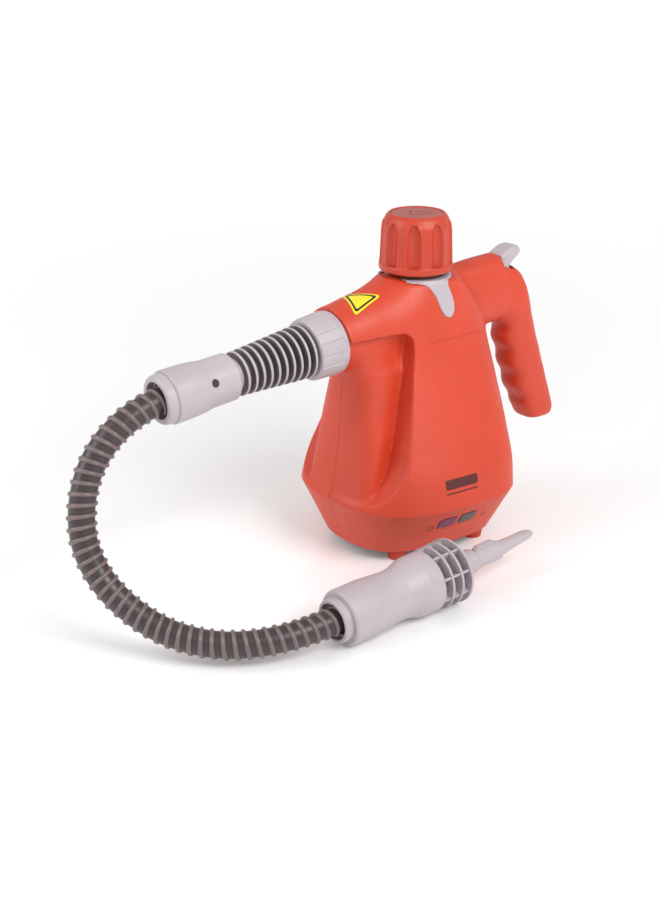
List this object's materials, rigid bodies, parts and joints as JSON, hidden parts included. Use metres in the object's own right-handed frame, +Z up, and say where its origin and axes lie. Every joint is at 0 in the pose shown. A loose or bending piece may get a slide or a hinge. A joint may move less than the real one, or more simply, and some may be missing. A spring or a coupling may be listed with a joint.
{
  "type": "wallpaper steamer",
  "caption": "Hand-held wallpaper steamer with a boiler housing, screw-down safety cap, thumb trigger, pistol handle and a flexible ribbed hose ending in a steam wand.",
  "frame": {"origin": "middle of the footprint at the floor, measured without the hose", "axes": "+X towards the handle, the hose sleeve points to -X, +Z up, the wand lies on the -Y side"},
  "size_m": [0.4322, 0.1992, 0.245],
  "materials": {
    "body_red": "satin",
    "cap_pink": "satin",
    "body_red_rubber": "matte",
    "steel": "zinc plated",
    "trim_grey": "satin",
    "lens_violet": "clear gloss",
    "lens_smoke": "clear gloss",
    "lamp_glass": "clear",
    "black_rubber": "matte",
    "black_plastic": "satin",
    "white_plastic": "satin",
    "aluminium": "die cast",
    "seal_rubber": "silicone",
    "brass": "turned",
    "glass_wool": "felted",
    "copper_pipe": "drawn copper",
    "hose_grey": "satin"
  },
  "bodies": {
    "housing": {"housing_left": "body_red", "housing_right": "body_red", "base_plate": "body_red", "rubber_feet": "body_red_rubber", "base_screws": "steel", "seam_screws": "steel", "collar_trim": "trim_grey", "power_lens": "lens_violet", "ready_lens": "lens_smoke", "indicator_lamps": "lamp_glass", "cord_gland": "black_rubber", "cord_clamp": "black_plastic", "clamp_posts": "body_red", "clamp_screws": "steel", "terminal_block": "white_plastic", "boiler_lower": "aluminium", "boiler_upper": "aluminium", "boiler_gasket": "seal_rubber", "boiler_bolts": "steel", "filler_neck": "brass", "heating_element": "steel", "thermostat": "steel", "thermal_fuse": "white_plastic", "insulation_jacket": "glass_wool", "trigger_pin": "steel", "steam_valve_body": "brass", "valve_spring": "steel", "steam_feed_pipe": "copper_pipe", "steam_outlet_pipe": "copper_pipe", "hose_connector": "black_plastic", "connector_seal": "seal_rubber", "rib_sleeve": "trim_grey", "hose_cuff": "trim_grey", "cuff_screw": "steel", "cuff_end_ring": "trim_grey", "hose": "hose_grey", "wand_end_ring": "trim_grey", "wand_grip": "trim_grey", "wand_guard": "trim_grey", "wand_tube": "trim_grey", "nozzle_seal": "seal_rubber"},
    "trigger": {"trigger": "trim_grey"},
    "valve_stem": {"valve_stem": "brass", "valve_seal": "seal_rubber"},
    "cap_seal": {"cap_gasket": "seal_rubber"},
    "cap_core": {"cap_core": "black_plastic", "relief_retainer": "brass", "cap_spring": "steel", "relief_spring": "steel"},
    "cap_cover": {"cap_shell": "body_red", "cap_top_disc": "cap_pink"},
    "relief_valve": {"relief_plunger": "brass"},
    "lock_collar": {"lock_collar": "trim_grey"},
    "jet_nozzle": {"jet_nozzle": "trim_grey"}
  },
  "joints": [
    {"name": "trigger_press", "type": "hinge", "parent": "housing", "child": "trigger", "pos_m": [0.10661, 0.0276, 0.1955], "axis": [0, 1, 0], "range_deg": [0, 8], "stiffness_Nm_per_rad": 0.8, "springref_deg": -8.59},
    {"name": "valve_open", "type": "slide", "parent": "housing", "child": "valve_stem", "axis": [0, 0, 1], "range_m": [-0.0022, 0], "deforming": ["valve_spring"]},
    {"name": "cap_rise", "type": "slide", "parent": "housing", "child": "cap_seal", "axis": [0, 0, 1], "range_m": [0, 0.014]},
    {"name": "cap_turn", "type": "hinge", "parent": "cap_seal", "child": "cap_core", "pos_m": [0.03861, 0.0276, 0.205], "axis": [0, 0, 1], "range_deg": [0, 1440]},
    {"name": "cap_press", "type": "slide", "parent": "cap_core", "child": "cap_cover", "axis": [0, 0, 1], "range_m": [-0.0025, 0], "stiffness_N_per_m": 1500, "springref_m": 0.001, "deforming": ["cap_spring"]},
    {"name": "relief_lift", "type": "slide", "parent": "cap_core", "child": "relief_valve", "axis": [0, 0, 1], "range_m": [0, 0.0015], "stiffness_N_per_m": 3000, "springref_m": -0.001, "deforming": ["relief_spring"]},
    {"name": "collar_lock", "type": "hinge", "parent": "housing", "child": "lock_collar", "pos_m": [-0.03839, 0.0276, 0.165], "axis": [-0.9966, 0, -0.0819], "range_deg": [0, 30]},
    {"name": "nozzle_lock", "type": "hinge", "parent": "housing", "child": "jet_nozzle", "pos_m": [-0.12039, -0.0788, 0.01895], "axis": [0.9991, 0.0192, 0.0371], "range_deg": [0, 30]}
  ],
  "couplings": [
    {"joint": "valve_open", "follows": "trigger_press", "m_per_rad": -0.015},
    {"joint": "cap_rise", "follows": "cap_turn", "m_per_rad": 0.00055704}
  ]
}
